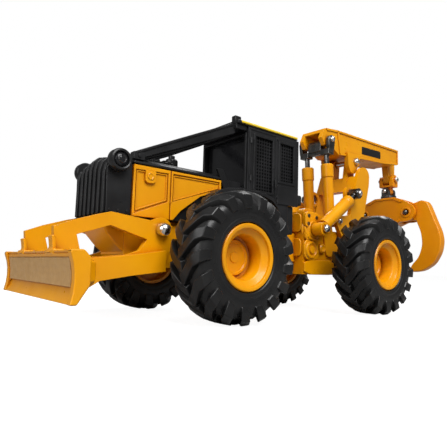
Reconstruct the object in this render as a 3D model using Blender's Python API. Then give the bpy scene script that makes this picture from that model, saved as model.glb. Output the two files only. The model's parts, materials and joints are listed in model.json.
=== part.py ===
"""Scale-model grapple skidder, about 1:50, as separate sub-parts with real joints.

X points forward, Y to the machine's left and Z up. The ground is at Z = 0.
All sizes are in millimetres, measured from a point on the ground half-way
between the axles; make() turns them into metres. Each moving body is an empty
on its joint's axis, and its pieces are parented to that empty.
"""
import math

import bpy
import bmesh
from mathutils import Matrix, Vector

MM = 0.001
GAP = 0.3            # between pieces that touch
RUN = 0.3            # radial clearance of a pin in its hole
ROUND = 24           # sides of an ordinary round piece
WELD = 0.005         # corners nearer than this become one

# Wheels
WHEELBASE = 79.0
TYRE_RADIUS = 21.0
TYRE_INNER_FACE = 21.3
TYRE_WIDTH = 14.7
RIM_RADIUS = 10.4
DISH_RADIUS = 7.1
DISH_DEPTH = 8.0
LIP_INSET = 0.4
HUB_THICK = 1.0
AXLE_RADIUS = 3.6
STUB_RADIUS = 2.6
STUB_END = TYRE_INNER_FACE + TYRE_WIDTH - LIP_INSET - DISH_DEPTH - HUB_THICK - GAP
WHEEL_SIDES = 44

# Front frame, hood and guard
FRAME_HALF = 8.5
FRAME_BOTTOM = 17.0
FRAME_TOP = 32.4
FRAME_FRONT = 68.0
HOOD_HALF = 12.4
HOOD_WALL = 1.3
HOOD_BOTTOM = 32.7
HOOD_TOP = 49.0
HOOD_FRONT = 67.7
HOOD_REAR = 32.9
HOOD_SKIRT_X = 52.8
GUARD_DEPTH = 8.8
GUARD_CROWN = 3.4
LID_RISE = 2.3
LAMP_RADIUS = 3.5
LAMP_LENGTH = 3.4
RISER_WIDTH = 2.6
COWL_HALF = 11.0
COWL_TOP = 50.0
RISER_DEPTH = 3.2

# Cab
CAB_FRONT = 22.0
CAB_REAR = -6.4
CAB_HALF = 14.5
CAB_WALL = 1.4
CAB_BOTTOM = 44.0
CAB_TOP = 71.3
ROOF_THICK = 1.4
ROOF_OVERHANG_FRONT = 5.6
ROOF_OVERHANG_SIDE = 0.5
SILL_FRONT = 47.2
SILL_REAR = 52.6
HEADER = 2.9
GUARD_SHEET = 0.8
FENDER_OUTER = 19.6
FENDER_THICK = 1.2

# Centre hinge
HINGE_X = -10.0
HINGE_RADIUS = 5.0
LUG_THICK = 4.5
KNUCKLE_BOTTOM = 21.4
KNUCKLE_TOP = 33.6
HINGE_PIN = 1.6

# Blade
BLADE_PIVOT = (58.3, 29.0)
BLADE_HALF = 32.5
BLADE_CHEEK = 2.2
ARM_INNER = 12.8
ARM_OUTER = 14.8
ARM_BEAM_OUTER = 17.0
BLADE_PIN = 1.5

# Rear frame
REAR_HALF = 9.5
REAR_FRONT = -15.5
REAR_BOTTOM = 16.0

# Arch
ARCH_PIVOT = (-46.0, 33.0)
ARCH_PIN = 1.5
LEG_THICK = 2.0
ARCH_CYL_BASE = (-21.0, 35.7)
ARCH_CYL_EYE = (-47.0, 54.5)
ARCH_CYL_Y = 14.5
ARCH_CYL_RADIUS = 2.8
ARCH_CYL_BARREL = 25.5
ROD_RADIUS = 1.2

# Boom
BOOM_PIVOT = (-56.5, 72.9)
BOOM_HALF = 6.8
BOOM_PLATE = 2.2
BOOM_REAR = -99.3
BOOM_CYL_BASE = (-38.5, 41.0)
BOOM_CYL_EYE = (-36.0, 80.0)
BOOM_CYL_Y = 5.9
BOOM_CYL_RADIUS = 2.6
BOOM_CYL_BARREL = 27.5

# Grapple
HANG_X = -101.5
SWING_Z = 71.2
SIDE_Z = 64.4
HEAD_TOP = 60.3
TONG_Y = 12.8
TONG_Z = 51.2
TONG_HALF = 2.4
HEAD_HALF = 4.6
LOBE_RADIUS = 5.0

TONG_PIN_OUT = 0.5

# The finished model is centred on X between the blade's edge and the grapple.
BLADE_EDGE = 92.9
MID_X = (BLADE_EDGE + HANG_X - HEAD_HALF - TONG_PIN_OUT) / 2

# name: (red, green, blue, roughness, metallic)
FINISHES = {
    "yellow_paint": (0.87, 0.40, 0.005, 0.35, 0.0),
    "orange_paint": (0.76, 0.25, 0.005, 0.38, 0.0),
    "roof_yellow": (0.85, 0.60, 0.05, 0.4, 0.0),
    "blade_tan": (0.45, 0.25, 0.09, 0.5, 0.0),
    "satin_black": (0.035, 0.035, 0.037, 0.42, 0.0),
    "guard_black": (0.02, 0.02, 0.022, 0.5, 0.0),
    "tyre_black": (0.016, 0.016, 0.017, 0.6, 0.0),
    "bright_pin": (0.75, 0.75, 0.77, 0.15, 1.0),
    "dark_steel": (0.07, 0.07, 0.075, 0.35, 0.8),
    "smoked_glass": (0.08, 0.08, 0.085, 0.1, 0.0),
    "seat_black": (0.03, 0.03, 0.03, 0.7, 0.0),
}


# ---------------------------------------------------------------- shapes

def mesh_from(bm):
    """Return a mesh of outward triangles from a bmesh of one closed surface."""
    bmesh.ops.recalc_face_normals(bm, faces=bm.faces)
    bmesh.ops.triangulate(bm, faces=bm.faces)
    mesh = bpy.data.meshes.new("shape")
    bm.to_mesh(mesh)
    bm.free()
    return mesh


def extruded(corners, shift):
    """Close a flat outline of 3-D corners and push it along shift."""
    bm = bmesh.new()
    face = bm.faces.new([bm.verts.new(corner) for corner in corners])
    pushed = bmesh.ops.extrude_face_region(bm, geom=[face])["geom"]
    verts = [item for item in pushed if isinstance(item, bmesh.types.BMVert)]
    bmesh.ops.translate(bm, verts=verts, vec=shift)
    return mesh_from(bm)


def plate(outline, y0, y1):
    """Outline of (x, z) points, from y0 to y1."""
    return extruded([(x, y0, z) for x, z in outline], (0, y1 - y0, 0))


def slab(outline, x0, x1):
    """Outline of (y, z) points, from x0 to x1."""
    return extruded([(x0, y, z) for y, z in outline], (x1 - x0, 0, 0))


def sheet(outline, z0, z1):
    """Outline of (x, y) points, from z0 to z1."""
    return extruded([(x, y, z0) for x, y in outline], (0, 0, z1 - z0))


def block(x0, x1, y0, y1, z0, z1):
    return plate([(x0, z0), (x1, z0), (x1, z1), (x0, z1)], y0, y1)


def bar(start, end, radius, sides=ROUND):
    """A round bar between two points."""
    start = Vector(start)
    along = Vector(end) - start
    bm = bmesh.new()
    bmesh.ops.create_cone(bm, cap_ends=True, segments=sides, radius1=radius, radius2=radius,
                          depth=along.length)
    turn = along.to_track_quat("Z", "Y").to_matrix().to_4x4()
    middle = Matrix.Translation(start + along / 2)
    bmesh.ops.transform(bm, matrix=middle @ turn, verts=bm.verts)
    return mesh_from(bm)


def cross_bar(point, radius, y0, y1, sides=ROUND):
    """A round bar along Y at an (x, z) point."""
    return bar((point[0], y0, point[1]), (point[0], y1, point[1]), radius, sides)


def turned(profile, point, closed, side=1, sides=WHEEL_SIDES):
    """Turn (radius, y) points about the line along Y at an (x, z) point."""
    bm = bmesh.new()
    rings = []
    for radius, y in profile:
        if radius == 0:
            rings.append([bm.verts.new((point[0], side * y, point[1]))])
            continue
        angles = [2 * math.pi * k / sides for k in range(sides)]
        rings.append([bm.verts.new((point[0] + radius * math.sin(a), side * y,
                                    point[1] + radius * math.cos(a))) for a in angles])
    pairs = list(zip(rings, rings[1:]))
    if closed:
        pairs.append((rings[-1], rings[0]))
    for inner, outer in pairs:
        for k in range(sides):
            n = (k + 1) % sides
            corners = [inner[k % len(inner)], inner[n % len(inner)],
                       outer[n % len(outer)], outer[k % len(outer)]]
            bm.faces.new(list(dict.fromkeys(corners)))
    return mesh_from(bm)


def arc(centre, radius, start, end, steps=8):
    """Points of an arc, angles in degrees."""
    turns = [math.radians(start + (end - start) * k / steps) for k in range(steps + 1)]
    return [(centre[0] + radius * math.cos(a), centre[1] + radius * math.sin(a)) for a in turns]


def strip(spine, thick):
    """Outline of a band of even thickness that follows a line of points."""
    upper, lower = [], []
    for k, here in enumerate(spine):
        before = Vector(spine[max(k - 1, 0)])
        after = Vector(spine[min(k + 1, len(spine) - 1)])
        along = (after - before).normalized()
        normal = Vector((-along.y, along.x)) * thick / 2
        upper.append(tuple(Vector(here) + normal))
        lower.append(tuple(Vector(here) - normal))
    return upper + lower[::-1]


def mirrored(mesh):
    """The same shape on the other side of the machine."""
    bm = bmesh.new()
    bm.from_mesh(mesh)
    bmesh.ops.scale(bm, vec=(1, -1, 1), verts=bm.verts)
    return mesh_from(bm)


def both_sides(mesh):
    return [mesh, mirrored(mesh)]


def combine(solid, other, operation):
    """Exact Boolean of two meshes."""
    first = bpy.data.objects.new("first", solid)
    second = bpy.data.objects.new("second", other)
    bpy.context.scene.collection.objects.link(first)
    bpy.context.scene.collection.objects.link(second)
    boolean = first.modifiers.new("boolean", "BOOLEAN")
    boolean.operation = operation
    boolean.solver = "EXACT"
    boolean.object = second
    graph = bpy.context.evaluated_depsgraph_get()
    result = bpy.data.meshes.new_from_object(first.evaluated_get(graph))
    bpy.data.objects.remove(first)
    bpy.data.objects.remove(second)
    bm = bmesh.new()
    bm.from_mesh(result)
    bmesh.ops.remove_doubles(bm, verts=bm.verts, dist=WELD)
    bmesh.ops.dissolve_degenerate(bm, edges=bm.edges, dist=WELD)
    rims = [edge for edge in bm.edges if edge.is_boundary]
    bmesh.ops.holes_fill(bm, edges=rims, sides=6)
    bmesh.ops.triangulate(bm, faces=bm.faces)
    bm.to_mesh(result)
    bm.free()
    return result


# ---------------------------------------------------------------- objects

def clear_scene():
    for item in list(bpy.data.objects):
        bpy.data.objects.remove(item)


def finish(name):
    """One Principled material for each finish."""
    if name in bpy.data.materials:
        return bpy.data.materials[name]
    red, green, blue, roughness, metallic = FINISHES[name]
    material = bpy.data.materials.new(name)
    material.use_nodes = True
    shader = material.node_tree.nodes["Principled BSDF"]
    shader.inputs["Base Color"].default_value = (red, green, blue, 1)
    shader.inputs["Roughness"].default_value = roughness
    shader.inputs["Metallic"].default_value = metallic
    return material


def add_body(name, place, parent=None):
    """An empty on a joint's axis, which carries one moving body."""
    empty = bpy.data.objects.new(name + "_axis", None)
    bpy.context.scene.collection.objects.link(empty)
    empty["place"] = place
    origin = Vector(place)
    if parent is not None:
        empty.parent = parent
        origin = origin - Vector(parent["place"])
    empty.location = origin * MM
    return empty


def make(name, body, colour, shapes, cuts=()):
    """Join the shapes, take the cuts away and hang the piece on its body."""
    solid = shapes[0]
    for extra in shapes[1:]:
        solid = combine(solid, extra, "UNION")
    for cut in cuts:
        solid = combine(solid, cut, "DIFFERENCE")
    origin = Vector(body["place"])
    solid.transform(Matrix.Scale(MM, 4) @ Matrix.Translation(-origin))
    solid.shade_smooth()
    solid.set_sharp_from_angle(angle=math.radians(35))
    solid.name = name
    solid.materials.clear()
    solid.materials.append(finish(colour))
    item = bpy.data.objects.new(name, solid)
    bpy.context.scene.collection.objects.link(item)
    item.parent = body
    return item


# ---------------------------------------------------------------- front half

def front_frame(body):
    """Chassis box with the hinge lugs behind and the blade pivot boss in front."""
    side = [(0, FRAME_BOTTOM), (FRAME_FRONT - 4, FRAME_BOTTOM), (FRAME_FRONT, FRAME_BOTTOM + 4),
            (FRAME_FRONT, FRAME_TOP), (20, FRAME_TOP), (20, CAB_BOTTOM - GAP),
            (2, CAB_BOTTOM - GAP), (0, CAB_BOTTOM - 4)]
    shapes = [plate(side, -FRAME_HALF, FRAME_HALF)]
    lug = arc((HINGE_X, 0), HINGE_RADIUS, 90, 270, 16)
    lug += [(1.0, -HINGE_RADIUS), (1.0, HINGE_RADIUS)]
    for low in (KNUCKLE_BOTTOM - GAP - LUG_THICK, KNUCKLE_TOP + GAP):
        shapes.append(sheet(lug, low, low + LUG_THICK))
    shapes.append(cross_bar(BLADE_PIVOT, 3.4, -ARM_INNER + GAP, ARM_INNER - GAP))
    cuts = [cross_bar((WHEELBASE / 2, TYRE_RADIUS), AXLE_RADIUS + GAP, -20, 20),
            cross_bar(BLADE_PIVOT, BLADE_PIN + RUN, -20, 20),
            bar((HINGE_X, 0, 0), (HINGE_X, 0, 60), HINGE_PIN + RUN)]
    make("front_frame", body, "yellow_paint", shapes, cuts)


def hinge_pin(body):
    top = KNUCKLE_TOP + GAP + LUG_THICK + GAP
    bottom = KNUCKLE_BOTTOM - GAP - LUG_THICK
    make("hinge_pin", body, "bright_pin",
         [bar((HINGE_X, 0, bottom), (HINGE_X, 0, top + 1), HINGE_PIN),
          bar((HINGE_X, 0, top), (HINGE_X, 0, top + 1), HINGE_PIN + 1.2)])


def axle(name, body, x):
    """Housing tube with a flange and a stub for each wheel."""
    at = (x, TYRE_RADIUS)
    end = TYRE_INNER_FACE + GAP
    shapes = [cross_bar(at, AXLE_RADIUS, 0.8 - end, end - 0.8),
              cross_bar(at, STUB_RADIUS, -STUB_END, STUB_END)]
    shapes += both_sides(cross_bar(at, AXLE_RADIUS + 1.8, end - 2.4, end))
    make(name, body, "satin_black", shapes)


def wheel(name, body, x, side):
    """Tyre and dished rim, which turn together."""
    at = (x, TYRE_RADIUS)
    inner = TYRE_INNER_FACE
    outer = inner + TYRE_WIDTH
    bead = RIM_RADIUS + GAP
    shoulder = TYRE_RADIUS - 1.7
    half = [(bead, outer - 0.7), (bead + 2.0, outer - 0.1), (shoulder - 2.0, outer),
            (shoulder, outer - 0.7), (TYRE_RADIUS - 0.3, outer - 2.4), (TYRE_RADIUS, outer - 4.2)]
    tyre = half + [(radius, inner + outer - y) for radius, y in reversed(half)]
    make(name + "_tyre", body, "tyre_black", [turned(tyre, at, True, side)])
    lip = outer - LIP_INSET
    floor = lip - DISH_DEPTH
    rim = [(0, floor + 1.6), (3.0, floor + 1.6), (3.4, floor), (DISH_RADIUS, floor),
           (DISH_RADIUS, lip - 2.0), (DISH_RADIUS + 1.8, lip - 0.6), (DISH_RADIUS + 2.1, lip),
           (RIM_RADIUS, lip), (RIM_RADIUS, inner + 0.9), (RIM_RADIUS - 1.0, inner + 0.9),
           (RIM_RADIUS - 1.0, floor - 2.2), (4.4, floor - 2.2), (4.4, inner + 0.7),
           (STUB_RADIUS + RUN, inner + 0.7), (STUB_RADIUS + RUN, floor - HUB_THICK),
           (0, floor - HUB_THICK)]
    make(name + "_rim", body, "yellow_paint", [turned(rim, at, False, side)])


def grille_guard(body):
    """Black guard in front of the radiator, with a crowned top."""
    edge = HOOD_HALF - 0.4
    face = [(-edge, HOOD_BOTTOM), (edge, HOOD_BOTTOM), (edge, HOOD_TOP), (edge - 3, HOOD_TOP + 2),
            (0, HOOD_TOP + GUARD_CROWN), (3 - edge, HOOD_TOP + 2), (-edge, HOOD_TOP)]
    rear = HOOD_FRONT + GAP
    make("grille_guard", body, "satin_black", [slab(face, rear, rear + GUARD_DEPTH)])


def lamps(body):
    for name, side in (("lamp_left", 1), ("lamp_right", -1)):
        at = (HOOD_FRONT + 5.6, HOOD_TOP + 0.1)
        start = HOOD_HALF - 0.1
        end = start + LAMP_LENGTH
        make(name, body, "satin_black",
             [cross_bar(at, LAMP_RADIUS, side * start, side * (end - 1)),
              cross_bar(at, LAMP_RADIUS - 0.9, side * (end - 1.5), side * end)])


def hood(body):
    """Side panels, lid and the engine they cover."""
    side = [(HOOD_FRONT, HOOD_BOTTOM), (HOOD_FRONT, HOOD_TOP), (HOOD_REAR, HOOD_TOP),
            (HOOD_REAR, HOOD_TOP - 4), (HOOD_SKIRT_X - 11, HOOD_TOP - 7),
            (HOOD_SKIRT_X - 3, HOOD_BOTTOM + 3.4), (HOOD_SKIRT_X, HOOD_BOTTOM)]
    inside = HOOD_HALF - HOOD_WALL
    for name, sign in (("hood_side_left", 1), ("hood_side_right", -1)):
        make(name, body, "yellow_paint", [plate(side, sign * inside, sign * HOOD_HALF)])
    low = HOOD_TOP + GAP
    lid = [(-HOOD_HALF, low), (HOOD_HALF, low), (HOOD_HALF, low + 0.8),
           (HOOD_HALF - 3, low + LID_RISE), (3 - HOOD_HALF, low + LID_RISE),
           (-HOOD_HALF, low + 0.8)]
    make("hood_lid", body, "satin_black", [slab(lid, HOOD_REAR, HOOD_FRONT)])
    make("engine_block", body, "satin_black",
         [block(HOOD_REAR + 6, HOOD_FRONT - GAP, GAP - inside, inside - GAP, HOOD_BOTTOM, HOOD_TOP)])


def cowl(body):
    """Black box that fills the space between the hood and the cab."""
    make("cowl", body, "satin_black",
         [block(CAB_FRONT + GAP, HOOD_REAR - GAP, -COWL_HALF, COWL_HALF, FRAME_TOP + GAP, COWL_TOP)])


def exhaust_box(body):
    low = HOOD_TOP + GAP + LID_RISE + GAP
    make("exhaust_box", body, "satin_black",
         [block(48, 58, -4.5, 4.5, low, low + 4.5),
          bar((46, 0, low), (46, 0, low + 6), 2.3)])


def limb_risers(body):
    """Box bars from the hood's front corners up to the roof's front corners."""
    foot = (HOOD_FRONT - 0.5, HOOD_TOP + 4.0)
    head = (CAB_FRONT, CAB_TOP + ROOF_THICK + 3.2)
    along = (Vector(head) - Vector(foot)).normalized()
    down = Vector((-along.y, along.x)) * RISER_DEPTH
    low_foot = tuple(Vector(foot) + down)
    low_head = tuple(Vector(head) + down)
    rail = [foot, head, low_head, low_foot]
    base = HOOD_TOP + GAP + LID_RISE + GAP
    roof_front = CAB_FRONT + ROOF_OVERHANG_FRONT + GAP
    for name, sign in (("limb_riser_left", 1), ("limb_riser_right", -1)):
        y0 = sign * (HOOD_HALF - 0.2 - RISER_WIDTH)
        y1 = sign * (HOOD_HALF - 0.2)
        make(name, body, "satin_black",
             [plate(rail, y0, y1),
              block(HOOD_FRONT - 3.6, HOOD_FRONT + 0.2, y0, y1, base - 1, HOOD_TOP + 4.3)],
             [block(HOOD_REAR, HOOD_FRONT + 9, y0 - 5, y1 + 5, HOOD_TOP - 5, base),
              block(CAB_FRONT - 5, roof_front, y0 - 5, y1 + 5, 60, 90)])


def cab_shell(body):
    """Hollow cab with its door, side, front and rear windows cut out."""
    wall = CAB_WALL
    header = CAB_TOP - HEADER
    outer = block(CAB_REAR, CAB_FRONT, -CAB_HALF, CAB_HALF, CAB_BOTTOM, CAB_TOP)
    inside = CAB_HALF - wall
    cuts = [block(CAB_REAR + wall, CAB_FRONT - wall, -inside, inside,
                  CAB_BOTTOM + 2.2, CAB_TOP - 1.2),
            block(9.0, 18.6, -20, 20, SILL_FRONT, header),
            block(-3.2, 5.0, -20, 20, SILL_REAR, header),
            block(CAB_FRONT - 3, CAB_FRONT + 3, 2 - CAB_HALF, CAB_HALF - 2, SILL_FRONT + 1, header),
            block(CAB_REAR - 3, CAB_REAR + 3, 3 - CAB_HALF, CAB_HALF - 3, SILL_REAR, header)]
    make("cab_shell", body, "satin_black", [outer], cuts)


def cab_glazing(body):
    """Window guards just inside the walls, and the windscreen."""
    inside = CAB_HALF - CAB_WALL - GAP
    sheet = GUARD_SHEET
    front = CAB_FRONT - CAB_WALL - GAP
    rear = CAB_REAR + CAB_WALL + GAP
    low = CAB_BOTTOM + 2.2 + GAP
    high = CAB_TOP - 1.2 - GAP
    ends = sheet + GAP
    for name, sign in (("side_guard_left", 1), ("side_guard_right", -1)):
        make(name, body, "guard_black",
             [block(rear + ends, front - ends, sign * (inside - sheet), sign * inside, low, high)])
    make("windscreen", body, "smoked_glass",
         [block(front - sheet, front, -inside, inside, low, high)])
    make("rear_guard", body, "guard_black",
         [block(rear, rear + sheet, -inside, inside, low, high)])


def cab_roof(body):
    edge = CAB_HALF + ROOF_OVERHANG_SIDE
    low = CAB_TOP + GAP
    front = CAB_FRONT + ROOF_OVERHANG_FRONT
    make("cab_roof", body, "roof_yellow",
         [block(CAB_REAR + 1, front, -edge, edge, low, low + ROOF_THICK)])


def seat(body):
    low = CAB_BOTTOM + 2.2 + GAP
    side = [(2, low), (10, low), (10, low + 6), (5, low + 6.6), (3.4, low + 14), (1, low + 14),
            (2, low + 5)]
    make("operator_seat", body, "seat_black", [plate(side, -4, 4)])


def side_boxes(body):
    """Tank and step boxes below the cab, and the fenders over the front tyres."""
    tank = [(-0.6, 25), (13.6, 25), (13.6, CAB_BOTTOM - 3.6), (10, CAB_BOTTOM - GAP),
            (-0.6, CAB_BOTTOM - GAP)]
    middle = WHEELBASE / 2
    spine = [(middle + 0.5, 45.2), (34, 46.4), (17, 45.9), (12.4, 44.2), (9.5, 40)]
    fender = strip(spine, FENDER_THICK)
    for hand, sign in (("left", 1), ("right", -1)):
        make("side_tank_" + hand, body, "satin_black",
             [plate(tank, sign * (FRAME_HALF + GAP), sign * (CAB_HALF - 0.2))])
        make("fender_" + hand, body, "satin_black",
             [plate(fender, sign * (CAB_HALF + GAP), sign * FENDER_OUTER)])


def blade_pivot_pin(body):
    end = ARM_BEAM_OUTER
    make("blade_pivot_pin", body, "bright_pin",
         [cross_bar(BLADE_PIVOT, BLADE_PIN, -end, end)]
         + both_sides(cross_bar(BLADE_PIVOT, BLADE_PIN + 0.6, ARM_OUTER + GAP, end)))


# ---------------------------------------------------------------- blade

def blade(body):
    """Moldboard with a cheek at each end, and the wear panel on its face."""
    board = [(92.2, 20.6), (90.9, 19.3), (90.2, 11.5), (91.9, 7.8), (90.6, 7.6), (87.6, 12.5),
             (87.6, 19.4), (90.2, 20.8)]
    cheek = [(BLADE_EDGE, 20.6), (91.9, 17.5), (91.5, 14.5), (91.6, 11.5), (92.3, 7.8), (90.6, 7.6),
             (88.2, 12.6), (88.2, 19.6), (89.4, 20.9)]
    edge = BLADE_HALF - BLADE_CHEEK
    make("blade", body, "yellow_paint",
         [plate(board, -edge - 0.5, edge + 0.5)] + both_sides(plate(cheek, edge, BLADE_HALF)))
    panel = [(91.3, 18.9), (91.9, 18.9), (91.3, 15), (91.2, 11.9), (90.6, 11.9)]
    make("blade_panel", body, "blade_tan", [plate(panel, 1.4 - edge, edge - 1.4)])


def blade_arms(body):
    """Each arm is one plate round a long window, with a thicker push beam below."""
    web = [(91.6, 27.4), (85.8, 29.8), (78.7, 32.1), (75.4, 33.0), (69.2, 32.3), (62.0, 31.6)]
    web += arc(BLADE_PIVOT, 3.9, 70, 180, 6)
    web += [(54.6, 22.0), (57.0, 15.8), (69.5, 14.4), (78.6, 12.9), (84.0, 11.6), (87.3, 12.6),
            (87.3, 21.2), (91.0, 21.2)]
    window = [(85.2, 25.6), (75.4, 29.0), (63.2, 25.6), (65.5, 22.2), (69.5, 20.7), (81.5, 19.4),
              (84.0, 21.3), (84.9, 24.5)]
    beam = [(57.4, 15.9), (57.4, 22.4), (69.5, 20.5), (82.5, 19.0), (87.3, 18.0), (87.3, 11.4),
            (82.0, 10.9), (78.6, 12.9), (69.5, 14.4)]
    for name, sign in (("blade_arm_left", 1), ("blade_arm_right", -1)):
        make(name, body, "yellow_paint",
             [plate(web, sign * ARM_INNER, sign * ARM_OUTER),
              plate(beam, sign * ARM_INNER, sign * ARM_BEAM_OUTER)],
             [plate(window, sign * (ARM_INNER - 3), sign * (ARM_BEAM_OUTER + 3)),
              cross_bar(BLADE_PIVOT, BLADE_PIN + RUN, -20, 20)])


# ---------------------------------------------------------------- rear half

def rear_frame(body):
    """Rear casting with the hinge knuckle in front and the cylinder pins on its sides."""
    side = [(REAR_FRONT, REAR_BOTTOM), (-53, REAR_BOTTOM), (-58, 21), (-58, 31), (-53, 36),
            (-32.4, 36), (-31.4, 42.4), (-16, 43.4), (REAR_FRONT, 41)]
    knuckle = arc((HINGE_X, 0), HINGE_RADIUS, -90, 90, 16)
    knuckle += [(REAR_FRONT - 1, HINGE_RADIUS), (REAR_FRONT - 1, -HINGE_RADIUS)]
    shapes = [plate(side, -REAR_HALF, REAR_HALF),
              sheet(knuckle, KNUCKLE_BOTTOM, KNUCKLE_TOP)]
    cylinder_inner = ARCH_CYL_Y - ARCH_CYL_RADIUS
    for sign in (1, -1):
        shapes.append(cross_bar(ARCH_CYL_BASE, 3.2, sign * (REAR_HALF - 1),
                                sign * (cylinder_inner - GAP)))
        shapes.append(cross_bar(ARCH_CYL_BASE, ARCH_PIN, sign * (REAR_HALF - 1),
                                sign * (ARCH_CYL_Y + ARCH_CYL_RADIUS + 0.6)))
    cuts = [cross_bar((-WHEELBASE / 2, TYRE_RADIUS), AXLE_RADIUS + GAP, -20, 20),
            cross_bar(ARCH_PIVOT, ARCH_PIN + RUN, -20, 20),
            bar((HINGE_X, 0, 0), (HINGE_X, 0, 60), HINGE_PIN + RUN)]
    make("rear_frame", body, "yellow_paint", shapes, cuts)


def arch_pivot_pin(body):
    end = REAR_HALF + GAP + LEG_THICK + GAP + 0.8
    make("arch_pivot_pin", body, "bright_pin",
         [cross_bar(ARCH_PIVOT, ARCH_PIN, -end, end)]
         + both_sides(cross_bar(ARCH_PIVOT, ARCH_PIN + 0.9, end - 0.8, end)))


def arch(body):
    """Two legs, the cross plate between them and the ears that carry the boom."""
    inner = REAR_HALF + GAP
    outer = inner + LEG_THICK
    leg = arc(ARCH_PIVOT, 4.4, 160, 320, 8)
    leg += arc(BOOM_CYL_BASE, 2.6, -45, 60, 5)
    leg += [(-44.5, 44), (-47.0, 45), (-50.2, 56.3), (-54.2, 67)]
    leg += arc((-58.6, 65.4), 4.4, 20, 180, 8)
    leg += [(-62.6, 61), (-57.8, 43.3), (-52.5, 36)]
    beam = [(-50.4, 57.2), (-53.4, 64.8), (-58.4, 64.8), (-55.4, 57.2)]
    ear = [(-51.5, 58.5)] + arc(BOOM_PIVOT, 2.5, 20, 180, 6) + [(-58.0, 60.0)]
    shapes = both_sides(plate(leg, inner, outer))
    shapes.append(plate(beam, -inner - 0.5, inner + 0.5))
    shapes += both_sides(cross_bar(ARCH_CYL_EYE, 3.8, inner + 0.2, outer - 0.2))
    shapes += both_sides(plate(ear, 3.2, 5.8))
    shapes.append(cross_bar(BOOM_CYL_BASE, 1.4, -inner - 0.5, inner + 0.5))
    cuts = [cross_bar(ARCH_PIVOT, ARCH_PIN + RUN, -20, 20),
            cross_bar(BOOM_PIVOT, 1.3 + RUN, -20, 20),
            cross_bar(ARCH_CYL_EYE, 2.4, -20, 20)]
    make("arch", body, "yellow_paint", shapes, cuts)


def on_line(start, end, distance, across=0.0):
    """A point so far along a line in the (x, z) plane, shifted square to it."""
    along = (Vector(end) - Vector(start)).normalized()
    normal = Vector((-along.y, along.x))
    return tuple(Vector(start) + along * distance + normal * across)


def cylinder_barrel(name, body, base, eye, y, radius, length, pin, bore):
    """Barrel with a flat eye at its base, bored for the rod."""
    start = on_line(base, eye, radius)
    end = on_line(base, eye, length)
    mouth = on_line(base, eye, length + 1)
    depth = on_line(base, eye, length - bore)
    make(name, body, "yellow_paint",
         [bar((start[0], y, start[1]), (end[0], y, end[1]), radius),
          cross_bar(base, radius + 0.1, y - radius + 0.2, y + radius - 0.2)],
         [cross_bar(base, pin + RUN, y - 9, y + 9),
          bar((depth[0], y, depth[1]), (mouth[0], y, mouth[1]), ROD_RADIUS + RUN)])


def arch_cylinders(barrels, rods):
    for hand, sign in (("left", 1), ("right", -1)):
        y = sign * ARCH_CYL_Y
        cylinder_barrel("arch_cylinder_" + hand, barrels, ARCH_CYL_BASE, ARCH_CYL_EYE, y,
                        ARCH_CYL_RADIUS, ARCH_CYL_BARREL, ARCH_PIN, 16.5)
        low = on_line(ARCH_CYL_BASE, ARCH_CYL_EYE, ARCH_CYL_BARREL - 12)
        inner = REAR_HALF + GAP + 0.4
        make("arch_rod_" + hand, rods, "dark_steel",
             [bar((low[0], y, low[1]), (ARCH_CYL_EYE[0], y, ARCH_CYL_EYE[1]), ROD_RADIUS),
              cross_bar(ARCH_CYL_EYE, 2.5, sign * 12.4, sign * 16.6),
              cross_bar(ARCH_CYL_EYE, 1.4, sign * inner, sign * 17.2)])


def boom_cylinders(barrels, rods):
    """Two barrels on the arch; both rods end in one dark crosshead."""
    foot = (BOOM_CYL_EYE[0], BOOM_CYL_EYE[1] - 5)
    shapes = [block(BOOM_CYL_EYE[0] - 2.2, BOOM_CYL_EYE[0] + 2.2, -8.5, 8.5, 72.8, 75.6),
              block(BOOM_CYL_EYE[0] - 2.0, BOOM_CYL_EYE[0] + 2.0, -4.0, 4.0, 75.2, 80.6)]
    for hand, sign in (("left", 1), ("right", -1)):
        y = sign * BOOM_CYL_Y
        cylinder_barrel("boom_cylinder_" + hand, barrels, BOOM_CYL_BASE, foot, y,
                        BOOM_CYL_RADIUS, BOOM_CYL_BARREL, 1.4, 20)
        low = on_line(BOOM_CYL_BASE, foot, BOOM_CYL_BARREL - 14.5)
        shapes.append(bar((low[0], y, low[1]), (foot[0], y, foot[1]), ROD_RADIUS))
    make("boom_rods", rods, "dark_steel", shapes)


def boom(body):
    """Box boom: an open fork in front, side lugs at the pivot, a hanging tongue behind."""
    side = [(-33.6, 85.4), (-31.3, 80.6), (-33.6, 77.4), (-39.4, 77.2), (-44.5, 74.6),
            (-55.5, 75.5), (-81.4, 77.0), (-98.0, 78.8), (BOOM_REAR, 79.4), (BOOM_REAR, 87.3),
            (-43.0, 86.3)]
    lug = [(-49.8, 76.5), (-50.4, 70.0)] + arc((-54.4, 69.6), 3.2, -50, -170, 5)
    lug += [(-59.6, 72.0), (-60.6, 77)]
    tongue = [(-97.4, 79.5), (-98.2, 74.2)] + arc((HANG_X, SWING_Z), 2.8, 340, 200, 6)
    tongue += [(-105.0, 74.2), (-105.2, 82.0), (-98.0, 84.0)]
    shapes = [plate(side, -BOOM_HALF, BOOM_HALF)]
    shapes += both_sides(plate(lug, 6.1, 8.3))
    shapes.append(plate(tongue, -1.8, 1.8))
    slot = BOOM_HALF - BOOM_PLATE
    cuts = [block(-42.8, -28, -slot, slot, 70, 83.6),
            cross_bar(BOOM_PIVOT, 2.9, -6.0, 6.0),
            cross_bar(BOOM_PIVOT, 1.3 + RUN, -20, 20),
            cross_bar((HANG_X, SWING_Z), 1.2 + RUN, -20, 20)]
    make("boom", body, "yellow_paint", shapes, cuts)
    make("boom_pivot_pin", body, "bright_pin",
         [cross_bar(BOOM_PIVOT, 1.3, -9.4, 9.4)]
         + both_sides(cross_bar(BOOM_PIVOT, 1.9, 8.3 + GAP, 9.4)))


# ---------------------------------------------------------------- grapple

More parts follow.
